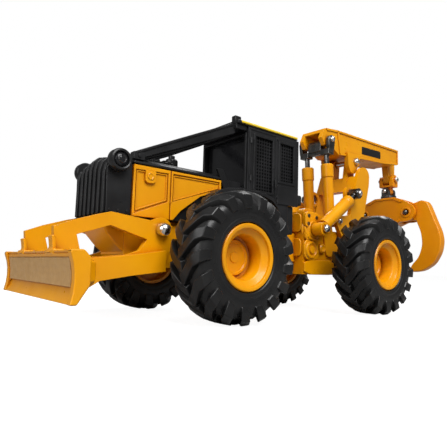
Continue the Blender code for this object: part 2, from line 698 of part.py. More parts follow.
def swing_link(body):
    """Yoke that swings fore and aft on the boom and carries the side pivot."""
    cheek = arc((HANG_X, SWING_Z), 2.8, 0, 180, 8) + [(HANG_X - 2.8, 67.4), (HANG_X + 2.8, 67.4)]
    shapes = both_sides(plate(cheek, 1.8 + GAP, 4.2))
    shapes.append(block(HANG_X - 2.7, HANG_X + 2.7, -4.1, 4.1, 67.0, 68.1))
    shapes.append(slab(arc((0, SIDE_Z), 1.9, 180, 360, 8) + [(1.9, 67.5), (-1.9, 67.5)],
                       HANG_X - 1.7, HANG_X + 1.7))
    shapes.append(cross_bar((HANG_X, SWING_Z), 1.2, -4.9, 4.9))
    cuts = [bar((HANG_X - 9, 0, SIDE_Z), (HANG_X + 9, 0, SIDE_Z), 1.0 + RUN)]
    make("swing_link", body, "orange_paint", shapes, cuts)


def rotator(body):
    """Dark fork on the side pivot, above the turning head."""
    fork = [(-2.2, HEAD_TOP + GAP), (2.2, HEAD_TOP + GAP)]
    fork += arc((0, SIDE_Z), 2.2, 0, 180, 8)
    shapes = [slab(fork, HANG_X + 1.7 + GAP, HANG_X + 3.8),
              slab(fork, HANG_X - 3.8, HANG_X - 1.7 - GAP),
              bar((HANG_X, 0, HEAD_TOP + GAP), (HANG_X, 0, HEAD_TOP + GAP + 1.3), 4.2),
              bar((HANG_X - 4.4, 0, SIDE_Z), (HANG_X + 4.4, 0, SIDE_Z), 1.0)]
    make("rotator", body, "dark_steel", shapes)


def grapple_head(body):
    """Body of the grapple, slotted at each end for a tong."""
    right = arc((TONG_Y, TONG_Z), LOBE_RADIUS, -90, 60, 8)
    half = [(4, TONG_Z - 7.4), (TONG_Y - 3, TONG_Z - LOBE_RADIUS)] + right
    half += [(TONG_Y - 1, HEAD_TOP - 2.4), (6, HEAD_TOP)]
    outline = half + [(-y, z) for y, z in reversed(half)]
    slot_start = TONG_Y - LOBE_RADIUS + 0.3
    slot_half = TONG_HALF + GAP
    cuts = both_sides(block(HANG_X - slot_half, HANG_X + slot_half, slot_start, 30, 30, 70))
    cuts += both_sides(bar((HANG_X - 9, TONG_Y, TONG_Z), (HANG_X + 9, TONG_Y, TONG_Z), 1.2 + RUN))
    make("grapple_head", body, "orange_paint",
         [slab(outline, HANG_X - HEAD_HALF, HANG_X + HEAD_HALF)], cuts)


def tong(name, body, side):
    """Curved tong with its own pin."""
    outline = [(16.3, 56.3), (20.2, 57.4), (23.4, 56.0), (27.3, 46.0), (29.6, 40.5), (30.3, 35.4),
               (29.4, 29.4), (26.0, 23.2), (20.4, 19.6), (14.0, 18.7), (14.4, 22.0), (18.6, 26.6),
               (20.6, 33.0), (20.0, 40.0), (17.0, 47.4)]
    outline += arc((TONG_Y, TONG_Z), 4.4, -45, -270, 10)
    shape = slab([(side * y, z) for y, z in outline], HANG_X - TONG_HALF, HANG_X + TONG_HALF)
    reach = HEAD_HALF + TONG_PIN_OUT
    pin = bar((HANG_X - reach, side * TONG_Y, TONG_Z),
              (HANG_X + reach, side * TONG_Y, TONG_Z), 1.2)
    make(name, body, "orange_paint", [shape, pin])


# ---------------------------------------------------------------- assembly

def build():
    clear_scene()
    machine = add_body("machine", (0, 0, 0))
    machine.location = (-MID_X * MM, 0, 0)
    front_frame(machine)
    hinge_pin(machine)
    axle("front_axle", machine, WHEELBASE / 2)
    grille_guard(machine)
    lamps(machine)
    hood(machine)
    cowl(machine)
    exhaust_box(machine)
    limb_risers(machine)
    cab_shell(machine)
    cab_glazing(machine)
    cab_roof(machine)
    seat(machine)
    side_boxes(machine)
    blade_pivot_pin(machine)

    lift = add_body("blade", (BLADE_PIVOT[0], 0, BLADE_PIVOT[1]), machine)
    blade(lift)
    blade_arms(lift)

    rear = add_body("rear", (HINGE_X, 0, KNUCKLE_BOTTOM), machine)
    rear_frame(rear)
    axle("rear_axle", rear, -WHEELBASE / 2)
    arch_pivot_pin(rear)

    # name, carrying body, x, side
    for name, carrier, x, side in (("front_left", machine, WHEELBASE / 2, 1),
                                   ("front_right", machine, WHEELBASE / 2, -1),
                                   ("rear_left", rear, -WHEELBASE / 2, 1),
                                   ("rear_right", rear, -WHEELBASE / 2, -1)):
        hub = (x, side * (TYRE_INNER_FACE + TYRE_WIDTH / 2), TYRE_RADIUS)
        wheel(name, add_body(name + "_wheel", hub, carrier), x, side)

    arch_base = (ARCH_PIVOT[0], 0, ARCH_PIVOT[1])
    tilt = add_body("arch", arch_base, rear)
    arch(tilt)
    barrels = add_body("arch_cylinders", (ARCH_CYL_BASE[0], 0, ARCH_CYL_BASE[1]), rear)
    rods = add_body("arch_rods", (ARCH_CYL_EYE[0], 0, ARCH_CYL_EYE[1]), barrels)
    arch_cylinders(barrels, rods)

    lever = add_body("boom", (BOOM_PIVOT[0], 0, BOOM_PIVOT[1]), tilt)
    boom(lever)
    barrels = add_body("boom_cylinders", (BOOM_CYL_BASE[0], 0, BOOM_CYL_BASE[1]), tilt)
    rods = add_body("boom_rods", (BOOM_CYL_EYE[0], 0, BOOM_CYL_EYE[1]), barrels)
    boom_cylinders(barrels, rods)

    swing = add_body("swing", (HANG_X, 0, SWING_Z), lever)
    swing_link(swing)
    sway = add_body("sway", (HANG_X, 0, SIDE_Z), swing)
    rotator(sway)
    head = add_body("head", (HANG_X, 0, HEAD_TOP), sway)
    grapple_head(head)
    for name, side in (("tong_left", 1), ("tong_right", -1)):
        tong(name, add_body(name, (HANG_X, side * TONG_Y, TONG_Z), head), side)


build()
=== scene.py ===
"""Looks of the toy grapple skidder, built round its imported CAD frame.

Sizes are in millimetres in the model's own frame: X forward from half-way
between the axles, Y to its left, Z up. place() turns them into the row frame.
"""

import json
import math

import bmesh
import bpy
from mathutils import Matrix, Vector


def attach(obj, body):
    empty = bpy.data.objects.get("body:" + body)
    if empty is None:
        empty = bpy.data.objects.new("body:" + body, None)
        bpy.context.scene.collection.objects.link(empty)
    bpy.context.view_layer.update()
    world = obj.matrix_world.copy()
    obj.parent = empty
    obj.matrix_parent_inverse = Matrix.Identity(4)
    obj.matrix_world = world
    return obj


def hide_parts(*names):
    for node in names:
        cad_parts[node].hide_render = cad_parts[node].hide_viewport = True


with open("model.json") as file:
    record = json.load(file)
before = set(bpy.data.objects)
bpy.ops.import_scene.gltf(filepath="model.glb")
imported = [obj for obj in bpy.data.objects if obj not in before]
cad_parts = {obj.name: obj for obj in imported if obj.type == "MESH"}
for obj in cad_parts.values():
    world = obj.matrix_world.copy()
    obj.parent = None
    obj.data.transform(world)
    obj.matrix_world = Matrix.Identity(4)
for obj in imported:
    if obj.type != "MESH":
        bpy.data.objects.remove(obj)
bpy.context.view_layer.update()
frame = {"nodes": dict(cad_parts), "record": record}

MM = 0.001
MID_X = -6.85          # half-way between the blade's edge and the grapple
GROUP = frame["record"]["behaviour"]["bodies"]
BODY_OF = {node: body for body, nodes in GROUP.items() for node in nodes}
SLOT_OF = {row["node"]: row["material_slot"] for row in frame["record"]["subparts"]}


# ---------------------------------------------------------------- materials

class Nodes:
    """Short words for making shader nodes."""

    def __init__(self, name):
        self.material = bpy.data.materials.new(name)
        self.material.use_nodes = True
        self.tree = self.material.node_tree
        self.shader = self.tree.nodes["Principled BSDF"]
        self.point = self.tree.nodes.new("ShaderNodeTexCoord").outputs["Object"]

    def set(self, **values):
        for key, value in values.items():
            socket = self.shader.inputs[key.replace("_", " ")]
            socket.default_value = (*value, 1) if isinstance(value, tuple) else value

    def link(self, source, target):
        self.tree.links.new(source, target)

    def noise(self, scale, detail=3.0, rough=0.5):
        node = self.tree.nodes.new("ShaderNodeTexNoise")
        node.inputs["Scale"].default_value = scale
        node.inputs["Detail"].default_value = detail
        node.inputs["Roughness"].default_value = rough
        self.link(self.point, node.inputs["Vector"])
        return node.outputs["Fac"]

    def ramp(self, source, stops):
        node = self.tree.nodes.new("ShaderNodeValToRGB")
        points = node.color_ramp.elements
        while len(points) < len(stops):
            points.new(0.5)
        for point, (place, colour) in zip(points, stops):
            point.position = place
            point.color = (*colour, 1)
        self.link(source, node.inputs["Fac"])
        return node.outputs["Color"]

    def span(self, source, low, high, start=0.3, end=0.7):
        node = self.tree.nodes.new("ShaderNodeMapRange")
        for name, value in (("From Min", start), ("From Max", end), ("To Min", low), ("To Max", high)):
            node.inputs[name].default_value = value
        self.link(source, node.inputs["Value"])
        return node.outputs["Result"]

    def mix(self, factor, first, second, how="MIX"):
        node = self.tree.nodes.new("ShaderNodeMix")
        node.data_type = "RGBA"
        node.blend_type = how
        for socket, value in (("Factor", factor), ("A", first), ("B", second)):
            target = [s for s in node.inputs if s.name == socket and s.enabled][0]
            if isinstance(value, bpy.types.NodeSocket):
                self.link(value, target)
            elif isinstance(value, tuple):
                target.default_value = (*value, 1)
            else:
                target.default_value = value
        return [s for s in node.outputs if s.enabled][0]

    def shade_in_corners(self, distance):
        # Ambient occlusion, used to paint shade into corners and creases.
        node = self.tree.nodes.new("ShaderNodeAmbientOcclusion")
        node.samples = 6
        node.inputs["Distance"].default_value = distance
        return node.outputs["AO"]

    def colour(self, source):
        self.link(source, self.shader.inputs["Base Color"])

    def roughness(self, source):
        self.link(source, self.shader.inputs["Roughness"])

    def bump(self, heights):
        """heights: (height socket, depth in metres), laid over each other."""
        before = None
        for height, depth in heights:
            node = self.tree.nodes.new("ShaderNodeBump")
            node.inputs["Strength"].default_value = 1.0
            node.inputs["Distance"].default_value = depth
            self.link(height, node.inputs["Height"])
            if before is not None:
                self.link(before, node.inputs["Normal"])
            before = node.outputs["Normal"]
        self.link(before, self.shader.inputs["Normal"])


def paint(name, main, corner_shade_colour, thin, roughness=0.3):
    """Thick glossy enamel with a little orange peel, and painted shade: darker in corners, where ambient occlusion
    finds them.
    """
    n = Nodes(name)
    n.set(Specular_IOR_Level=0.3, Coat_Weight=0.12, Coat_Roughness=0.12)
    cloud = n.ramp(n.noise(90, 4), [(0.35, main), (0.75, thin)])
    # painted shade: the ambient-occlusion mask mixes the darker colour into corners and creases
    corner_shade_mask = n.span(n.shade_in_corners(0.0028), 1.0, 0.0, 0.35, 0.9)
    n.colour(n.mix(corner_shade_mask, cloud, corner_shade_colour))
    n.roughness(n.span(n.noise(120, 2), roughness - 0.04, roughness + 0.1))
    n.bump([(n.noise(430, 1), 0.00001), (n.noise(2300, 1), 0.000003)])
    return n.material


def moulded(name, main, worn, roughness, grain, depth, shine=0.3):
    """Moulded plastic or rubber: fine grain, uneven shine, faint handling marks."""
    n = Nodes(name)
    n.set(Specular_IOR_Level=shine)
    n.colour(n.ramp(n.noise(110, 3), [(0.4, main), (0.85, worn)]))
    n.roughness(n.span(n.noise(150, 2), roughness - 0.06, roughness + 0.1))
    n.bump([(n.noise(grain, 3), depth * 0.6), (n.noise(grain / 6, 2), depth * 0.6)])
    return n.material


def metal(name, main, worn, roughness):
    """Bare metal with fine scratches in its shine."""
    n = Nodes(name)
    n.set(Metallic=1.0)
    n.colour(n.ramp(n.noise(300, 4), [(0.3, main), (0.8, worn)]))
    n.roughness(n.span(n.noise(700, 4), roughness - 0.05, roughness + 0.12))
    n.bump([(n.noise(1800, 2), 0.000006)])
    return n.material


def wear_panel(name):
    """Tan panel with a mottled print and fine scuffs."""
    n = Nodes(name)
    mottle = n.ramp(n.noise(330, 8, 0.75),
                    [(0.3, (0.46, 0.255, 0.085)), (0.55, (0.53, 0.31, 0.115)), (0.8, (0.60, 0.37, 0.15))])
    streak = n.tree.nodes.new("ShaderNodeTexWave")
    streak.bands_direction = "Z"
    streak.inputs["Scale"].default_value = 160
    streak.inputs["Distortion"].default_value = 9
    streak.inputs["Detail"].default_value = 3
    n.link(n.point, streak.inputs["Vector"])
    n.colour(n.mix(n.span(streak.outputs["Fac"], 0.0, 0.08, 0.5, 1.0), mottle, (0.30, 0.15, 0.05)))
    n.roughness(n.span(n.noise(500, 4), 0.42, 0.62))
    n.bump([(n.noise(1500, 3), 0.00003)])
    return n.material


# Each paint gets its main colour, the colour of its painted corner shade, a thin-paint colour and a roughness.
MATERIALS = {
    "yellow_paint": paint("yellow_paint", (0.76, 0.30, 0.0006), (0.44, 0.115, 0.0005), (0.82, 0.35, 0.001)),
    "orange_paint": paint("orange_paint", (0.76, 0.255, 0.0008), (0.46, 0.10, 0.0005), (0.82, 0.31, 0.002),
                          0.32),
    "roof_yellow": paint("roof_yellow", (0.83, 0.56, 0.03), (0.66, 0.36, 0.008), (0.86, 0.63, 0.05), 0.36),
    "blade_tan": wear_panel("blade_tan"),
    "satin_black": moulded("satin_black", (0.009, 0.009, 0.0095), (0.02, 0.02, 0.021), 0.32, 2600, 0.00001,
                           0.35),
    "guard_black": moulded("guard_black", (0.004, 0.004, 0.004), (0.009, 0.009, 0.009), 0.5, 2600, 0.00001),
    "tyre_black": moulded("tyre_black", (0.007, 0.007, 0.0072), (0.017, 0.0165, 0.016), 0.32, 1700, 0.00002,
                          0.4),
    "bright_pin": metal("bright_pin", (0.62, 0.61, 0.60), (0.82, 0.81, 0.80), 0.16),
    "dark_steel": metal("dark_steel", (0.09, 0.088, 0.085), (0.22, 0.215, 0.21), 0.28),
    "smoked_glass": moulded("smoked_glass", (0.010, 0.010, 0.011), (0.018, 0.018, 0.02), 0.12, 900,
                            0.000004),
    "seat_black": moulded("seat_black", (0.012, 0.012, 0.012), (0.02, 0.02, 0.02), 0.62, 1400, 0.00004),
}


# ---------------------------------------------------------------- shapes

def place(point):
    """A point of the model's frame, in the row frame."""
    return Vector((point[0] - MID_X, point[1], point[2])) * MM


class Shape:
    """Closed surfaces gathered into one mesh."""

    def __init__(self):
        self.bm = bmesh.new()

    def loft(self, rings, loop=False):
        """Join rings of points, all the same length, and close the ends."""
        made = [[self.bm.verts.new(place(p)) for p in ring] for ring in rings]
        count = len(rings[0])
        pairs = list(zip(made, made[1:]))
        if loop:
            pairs.append((made[-1], made[0]))
        for one, two in pairs:
            for k in range(count):
                n = (k + 1) % count
                self.bm.faces.new((one[k], one[n], two[n], two[k]))
        if not loop:
            self.bm.faces.new(made[0][::-1])
            self.bm.faces.new(made[-1])
        return self

    def plate(self, outline, y0, y1):
        return self.loft([[(x, y, z) for x, z in outline] for y in (y0, y1)])

    def slab(self, outline, x0, x1):
        return self.loft([[(x, y, z) for y, z in outline] for x in (x0, x1)])

    def block(self, x0, x1, y0, y1, z0, z1):
        return self.plate([(x0, z0), (x1, z0), (x1, z1), (x0, z1)], y0, y1)

    def tube(self, points, radius, sides=20):
        """A round bar through points; radius is one number or one for each point."""
        points = [Vector(p) for p in points]
        radii = radius if isinstance(radius, (list, tuple)) else [radius] * len(points)
        side = None
        rings = []
        for k, here in enumerate(points):
            ahead = (points[min(k + 1, len(points) - 1)] - points[max(k - 1, 0)]).normalized()
            if side is None:
                side = ahead.orthogonal().normalized()
            side = (side - ahead * side.dot(ahead)).normalized()
            other = ahead.cross(side)
            turns = [2 * math.pi * n / sides for n in range(sides)]
            rings.append([here + (side * math.cos(a) + other * math.sin(a)) * radii[k] for a in turns])
        return self.loft(rings)

    def turned(self, profile, centre, axis="y", sides=48, sign=1):
        """Turn (radius, along) points about a line; a ring shape if no radius is 0."""
        def point(radius, along, a):
            across, up = radius * math.cos(a), radius * math.sin(a)
            if axis == "y":
                return (centre[0] + across, centre[1] + sign * along, centre[2] + up)
            if axis == "x":
                return (centre[0] + sign * along, centre[1] + across, centre[2] + up)
            return (centre[0] + across, centre[1] + up, centre[2] + sign * along)
        angles = [2 * math.pi * k / sides for k in range(sides)]
        closed = all(radius > 0 for radius, along in profile)
        rings = [[self.bm.verts.new(place(point(r, along, a))) for a in (angles if r > 0 else [0.0])]
                 for r, along in profile]
        pairs = list(zip(rings, rings[1:]))
        if closed:
            pairs.append((rings[-1], rings[0]))
        for one, two in pairs:
            if len(one) + len(two) == 2:
                continue
            for k in range(sides):
                n = (k + 1) % sides
                corners = [one[k % len(one)], one[n % len(one)], two[n % len(two)], two[k % len(two)]]
                self.bm.faces.new(list(dict.fromkeys(corners)))
        return self

    def done(self, name, body, slot, bevel=0.0, segments=2, replaces=()):
        """Make the object, round its edges and hang it on its body."""
        bmesh.ops.recalc_face_normals(self.bm, faces=self.bm.faces)
        mesh = bpy.data.meshes.new(name)
        self.bm.to_mesh(mesh)
        self.bm.free()
        return show(name, mesh, body, slot, bevel, segments, replaces)


def show(name, mesh, body, slot, bevel, segments=2, replaces=()):
    """Put a mesh in the scene on its body, with its material and rounded edges."""
    mesh.shade_smooth()
    item = bpy.data.objects.new(name, mesh)
    bpy.context.scene.collection.objects.link(item)
    mesh.materials.append(MATERIALS[slot])
    if bevel:
        edge = item.modifiers.new("rounded", "BEVEL")
        edge.width = bevel * MM
        edge.segments = segments
        edge.limit_method = "ANGLE"
        edge.angle_limit = math.radians(32)
        edge.harden_normals = True
    else:
        mesh.set_sharp_from_angle(angle=math.radians(40))
    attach(item, body)
    if replaces:
        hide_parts(*replaces)
    return item


def rounded(node, bevel, segments=2, slot=None):
    """A CAD piece with its cast edges rounded."""
    bm = bmesh.new()
    bm.from_mesh(frame["nodes"][node].data)
    bmesh.ops.remove_doubles(bm, verts=bm.verts, dist=2e-6)
    bmesh.ops.dissolve_limit(bm, angle_limit=math.radians(1.5), verts=bm.verts, edges=bm.edges)
    bm.verts.index_update()
    mesh = bpy.data.meshes.new(node + "_rounded")
    mesh.from_pydata([v.co[:] for v in bm.verts], [], [[v.index for v in f.verts] for f in bm.faces])
    bm.free()
    return show(node + "_rounded", mesh, BODY_OF[node], slot or SLOT_OF[node], bevel, segments, (node,))


# ---------------------------------------------------------------- carried-over pieces

ROUNDED = {
    0.35: ["front_frame", "blade_arm_left", "blade_arm_right", "rear_frame", "boom", "grapple_head",
           "hood_lid", "cowl", "side_tank_left", "side_tank_right"],
    0.25: ["arch", "swing_link", "rotator", "arch_rod_left", "arch_rod_right", "operator_seat",
           "front_axle", "rear_axle", "arch_cylinder_left", "arch_cylinder_right",
           "boom_cylinder_left", "boom_cylinder_right"],
    0.2: ["engine_block", "blade_panel", "hinge_pin", "cab_shell", "windscreen", "rear_guard",
          "side_guard_left", "side_guard_right"],
}
for width, names in ROUNDED.items():
    for node_name in names:
        rounded(node_name, width)


# ---------------------------------------------------------------- wheels

AXLE_X = 39.5
AXLE_Z = 21.0
TYRE_MIDDLE = 28.65
RIM_FACE = 35.65
RIM_DISH = 8.2
TYRE_PROFILE = [(10.75, -6.6), (11.0, -7.0), (12.0, -7.25), (12.6, -7.05), (13.2, -7.2), (14.8, -7.35),
                (16.6, -7.1), (17.9, -6.5), (18.8, -5.4), (19.25, -3.6), (19.4, -1.4)]
LUGS = 17
LUG_TRUE_RADIUS = 19.0      # where a lug's half-width is the one in the table
# Along a lug: turn in degrees, then (across, radius, half-width in degrees) at its foot and on its top.
LUG_ROWS = [
    (0.0, (-0.9, 18.1, 7.0), (-0.9, 21.0, 5.5)),
    (2.6, (0.6, 18.3, 7.0), (0.6, 21.0, 5.5)),
    (7.0, (2.4, 18.3, 7.0), (2.4, 21.0, 5.5)),
    (12.2, (4.2, 18.1, 7.0), (4.2, 20.95, 5.5)),
    (17.0, (5.7, 17.5, 7.0), (5.7, 20.6, 5.5)),
    (20.2, (5.9, 16.4, 6.6), (7.75, 19.3, 5.3)),
    (21.6, (6.25, 15.3, 6.0), (8.0, 17.2, 4.6)),
    (22.2, (6.3, 14.1, 5.4), (7.75, 15.2, 3.9)),
]


def lug(shape, centre, side, start):
    """One tread bar, from just past the middle over the shoulder and down the side wall."""
    rings = []
    for turn, foot, top in LUG_ROWS:
        ring = []
        for (across, radius, half), way in ((foot, 1), (top, 1), (top, -1), (foot, -1)):
            a = math.radians(start + turn) + math.radians(way * half * LUG_TRUE_RADIUS / radius)
            ring.append((centre[0] + radius * math.cos(a), centre[1] + side * across,
                         centre[2] + radius * math.sin(a)))
        rings.append(ring)
    shape.loft(rings)


def wheel(name, x, side):
    """Tyre with two staggered rows of lugs, and a rim turned in one piece."""
    centre = (x, side * TYRE_MIDDLE, AXLE_Z)
    body = name + "_wheel"
    profile = TYRE_PROFILE + [(radius, -along) for radius, along in reversed(TYRE_PROFILE)]
    shape = Shape().turned(profile, centre, sides=96)
    step = 360 / LUGS
    for k in range(LUGS):
        lug(shape, centre, 1, k * step)
        lug(shape, centre, -1, (k + 0.5) * step)
    shape.done(name + "_tyre_lugged", body, "tyre_black", 0.28, 2, (name + "_tyre",))
    lip = RIM_FACE - TYRE_MIDDLE
    floor = lip - RIM_DISH
    rim = [(0, floor + 1.2), (1.6, floor + 1.2), (1.8, floor + 0.9), (4.5, floor + 0.9), (4.8, floor + 1.2),
           (5.5, floor + 1.2), (5.8, floor + 0.9), (6.1, floor + 0.2), (6.9, floor + 0.5),
           (7.05, lip - 2.6), (7.3, lip - 2.2), (7.75, lip - 2.05), (8.95, lip - 1.0),
           (9.05, lip - 0.2), (9.4, lip),
           (10.2, lip), (10.5, lip - 0.3), (10.5, -6.2), (9.4, -6.2), (9.2, floor - 2.0),
           (4.4, floor - 2.4), (4.3, -6.4), (2.95, -6.4), (2.95, floor - 1.0), (0, floor - 1.0)]
    Shape().turned(rim, centre, sides=80, sign=side).done(
        name + "_rim_turned", body, "yellow_paint", 0.0, 2, (name + "_rim",))


for wheel_name, wheel_x, wheel_side in (("front_left", AXLE_X, 1), ("front_right", AXLE_X, -1),
                                        ("rear_left", -AXLE_X, 1), ("rear_right", -AXLE_X, -1)):
    wheel(wheel_name, wheel_x, wheel_side)


# ---------------------------------------------------------------- hood and guard

def both(name, build):
    """Build a piece on each side: build(sign, name with the side's word)."""
    for side_word, sign in (("left", 1), ("right", -1)):
        build(sign, f"{name}_{side_word}")


def facing(sign, y0, y1):
    """The pair of Y values on one side, in rising order."""
    return sorted((sign * y0, sign * y1))


GUARD_REAR = 68.0
GUARD_FRONT = 76.8
GUARD_LOW = 32.7
RIBS = 7


def crown(y):
    """Height of the guard's top at a distance from the middle."""
    y = abs(y)
    return 52.4 - 1.4 * y / 9.0 if y < 9.0 else 51.0 - 2.0 * (y - 9.0) / 3.0


def guard():
    """Crowned guard in front of the hood, with upright ribs."""
    rings = []
    for y in (-12.0, -10.8, -9.0, -4.5, 0.0, 4.5, 9.0, 10.8, 12.0):
        high = crown(y)
        rings.append([(GUARD_REAR, y, GUARD_LOW), (75.5, y, GUARD_LOW), (75.5, y, high - 4.6),
                      (74.9, y, high - 2.4), (73.4, y, high - 1.1), (71.6, y, high - 0.7),
                      (GUARD_REAR, y, high - 0.7)])
    shape = Shape().loft(rings)
    for k in range(RIBS):
        y = -10.3 + 20.6 * k / (RIBS - 1)
        high = crown(y)
        spine = [(GUARD_FRONT, GUARD_LOW + 0.3), (GUARD_FRONT, high - 4.9), (76.2, high - 2.2),
                 (74.3, high - 0.5), (71.8, high), (68.4, high), (68.4, high - 1.4), (71.2, high - 1.5),
                 (73.4, high - 2.0), (74.8, high - 3.4), (75.0, high - 5.0), (75.0, GUARD_LOW + 0.3)]
        shape.plate(spine, y - 0.85, y + 0.85)
    shape.done("grille_guard_ribbed", "machine", "satin_black", 0.25, 2, ("grille_guard",))


guard()


def guard_side(sign, name):
    """Flat side of the guard, with three rivets."""
    outline = [(68.3, 33.0), (76.1, 33.0), (76.5, 46.4), (75.7, 48.6), (74.0, 49.6), (68.3, 49.9)]
    Shape().plate(outline, *facing(sign, 11.7, 12.25)).done(name, "machine", "satin_black", 0.2)
    for k, x in enumerate((69.3, 72.2, 75.0)):
        Shape().turned([(0, 0), (0.45, 0), (0.4, 0.25), (0, 0.35)], (x, sign * 12.2, 33.9), "y", 12,
                       sign).done(
            f"{name}_rivet_{k + 1}", "machine", "satin_black")


both("guard_side", guard_side)


def lamp(sign, name):
    """Round work lamp: housing, lens and a thin dark steel ring."""
    centre = (73.2, sign * 12.0, 49.0)
    housing = [(0, 0), (3.1, 0), (3.5, 0.5), (3.5, 2.5), (3.25, 3.2), (2.85, 3.4), (2.5, 3.2), (2.4, 2.4),
               (0, 2.4)]
    Shape().turned(housing, centre, "y", 48, sign).done(
        name + "_housing", "machine", "satin_black", 0.0, 2, (name,))
    Shape().turned([(0, 2.3), (2.35, 2.3), (2.2, 2.8), (1.6, 3.3), (0.8, 3.6), (0, 3.7)], centre, "y", 40,
                   sign).done(
        name + "_lens", "machine", "smoked_glass")
    Shape().turned([(1.0, 3.45), (1.15, 3.62), (1.3, 3.35), (1.15, 3.2)], centre, "y", 32, sign).done(
        name + "_ring", "machine", "dark_steel")


both("lamp", lamp)

HOOD_FACE = 12.4
HOOD_OUTLINE = [(67.7, 32.7), (67.7, 49.0), (32.9, 49.0), (32.9, 45.0), (41.8, 42.0), (49.8, 36.1),
                (52.8, 32.7)]
HOOD_RAISED = [
    [(54.3, 47.9), (67.7, 47.5), (67.7, 49.0), (54.3, 49.0)],
    [(66.9, 32.7), (67.7, 32.7), (67.7, 47.8), (66.9, 47.8)],
    [(54.3, 38.5), (55.1, 38.2), (55.1, 48.1), (54.3, 48.1)],
    [(54.3, 32.7), (67.1, 32.7), (67.1, 33.5), (55.0, 38.5), (54.3, 38.8)],
    [(32.9, 48.2), (53.9, 48.1), (53.9, 49.0), (32.9, 49.0)],
    [(53.2, 38.2), (53.9, 38.0), (53.9, 48.3), (53.2, 48.3)],
    [(52.8, 32.7), (53.9, 32.7), (53.9, 38.5), (33.6, 45.7), (32.9, 45.8), (32.9, 45.0), (41.8, 42.0),
     (49.8, 36.1)],
    [(32.9, 45.2), (33.6, 45.2), (33.6, 48.5), (32.9, 48.5)],
]
HOOD_LIPS = [
    [(55.5, 47.2), (66.5, 46.9), (66.5, 47.3), (55.5, 47.6)],
    [(66.2, 34.6), (66.6, 34.6), (66.6, 47.2), (66.2, 47.2)],
    [(55.4, 38.9), (55.8, 38.7), (55.8, 47.5), (55.4, 47.5)],
    [(55.4, 39.3), (66.5, 34.9), (66.5, 34.4), (55.4, 38.8)],
    [(34.0, 47.5), (52.9, 47.3), (52.9, 47.7), (34.0, 47.9)],
    [(52.5, 39.2), (52.9, 39.0), (52.9, 47.6), (52.5, 47.6)],
    [(34.0, 46.3), (52.8, 39.5), (52.8, 39.0), (34.0, 45.8)],
]


def hood_side(sign, name):
    """Side panel with raised borders, and a blank round latch."""
    shape = Shape().plate(HOOD_OUTLINE, *facing(sign, 11.1, 11.8))
    for outline in HOOD_RAISED:
        shape.plate(outline, *facing(sign, 11.5, HOOD_FACE))
    for outline in HOOD_LIPS:
        shape.plate(outline, *facing(sign, 11.6, 12.15))
    shape.done(name + "_panels", "machine", "yellow_paint", 0.16, 2, (name,))
    latch = Shape().plate([(59.9, 44.4), (60.8, 43.7), (62.8, 43.7), (63.7, 44.4), (63.7, 47.7),
                           (59.9, 47.7)],
                          *facing(sign, 11.6, 12.7))
    latch.turned([(0, 0), (1.25, 0), (1.25, 0.3), (0.9, 0.42), (0.7, 0.2), (0, 0.2)],
                 (61.8, sign * 12.6, 45.9),
                 "y", 24, sign)
    latch.done(name + "_latch", "machine", "yellow_paint", 0.18)


both("hood_side", hood_side)


# ---------------------------------------------------------------- cab

WINDOWS = ((9.0, 18.6, 47.2, 68.4), (-3.2, 5.0, 52.6, 68.4))
MESH_STEP = 1.3
WIRE = 0.24


def ring(shape, x0, x1, z0, z1, width, y0, y1):
    """A square frame of four strips, lying in the side of the cab."""
    shape.block(x0, x1, y0, y1, z0, z0 + width)
    shape.block(x0, x1, y0, y1, z1 - width, z1)
    shape.block(x0, x0 + width, y0, y1, z0 + width * 0.9, z1 - width * 0.9)
    shape.block(x1 - width, x1, y0, y1, z0 + width * 0.9, z1 - width * 0.9)


def cab_side(sign, name):
    """Screens, window frames, door edge and fittings on one side of the cab."""
    screen = Shape()
    frame_ring = Shape()
    for x0, x1, z0, z1 in WINDOWS:
        columns = round((x1 - x0) / MESH_STEP)
        rows = round((z1 - z0) / MESH_STEP)
        for k in range(1, columns):
            x = x0 + (x1 - x0) * k / columns
            screen.block(x - WIRE, x + WIRE, *facing(sign, 13.55, 13.95), z0 - 0.3, z1 + 0.3)
        for k in range(1, rows):
            z = z0 + (z1 - z0) * k / rows
            screen.block(x0 - 0.3, x1 + 0.3, *facing(sign, 13.45, 13.85), z - WIRE, z + WIRE)
        ring(frame_ring, x0 - 0.8, x1 + 0.8, z0 - 0.8, z1 + 0.8, 1.0, *facing(sign, 13.9, 14.85))
    screen.done(name + "_screens", "machine", "satin_black")
    frame_ring.done(name + "_window_frames", "machine", "satin_black", 0.2)
    door = Shape()
    ring(door, 6.9, 21.4, 44.6, 70.9, 0.6, *facing(sign, 14.3, 14.75))
    door.done(name + "_door_edge", "machine", "satin_black", 0.15)
    fittings = Shape()
    for z in (51.5, 66.0):
        fittings.tube([(20.9, sign * 15.0, z - 1.1), (20.9, sign * 15.0, z + 1.1)], 0.5, 14)
    fittings.tube([(7.9, sign * 14.6, 49.4), (7.9, sign * 15.35, 49.6), (7.9, sign * 15.35, 52.4),
                   (7.9, sign * 14.6, 52.6)], 0.28, 12)
    for z in (69.6, 46.0):
        fittings.turned([(0, 0), (0.7, 0), (0.6, 0.35), (0, 0.5)], (6.2, sign * 14.4, z), "y", 16, sign)
    fittings.done(name + "_fittings", "machine", "satin_black", 0.08)
    Shape().block(-8.9, -5.9, *facing(sign, 8.5, 14.5), 44.2, 48.7).done(
        name + "_corner_box", "machine", "satin_black", 0.9, 4)
    Shape().plate([(-6.0, 43.4), (6.0, 43.4), (6.0, 51.0), (-6.0, 51.0)], *facing(sign, 14.3, 14.7)).done(
        name + "_lower_panel", "machine", "satin_black", 0.2)


both("cab_side", cab_side)


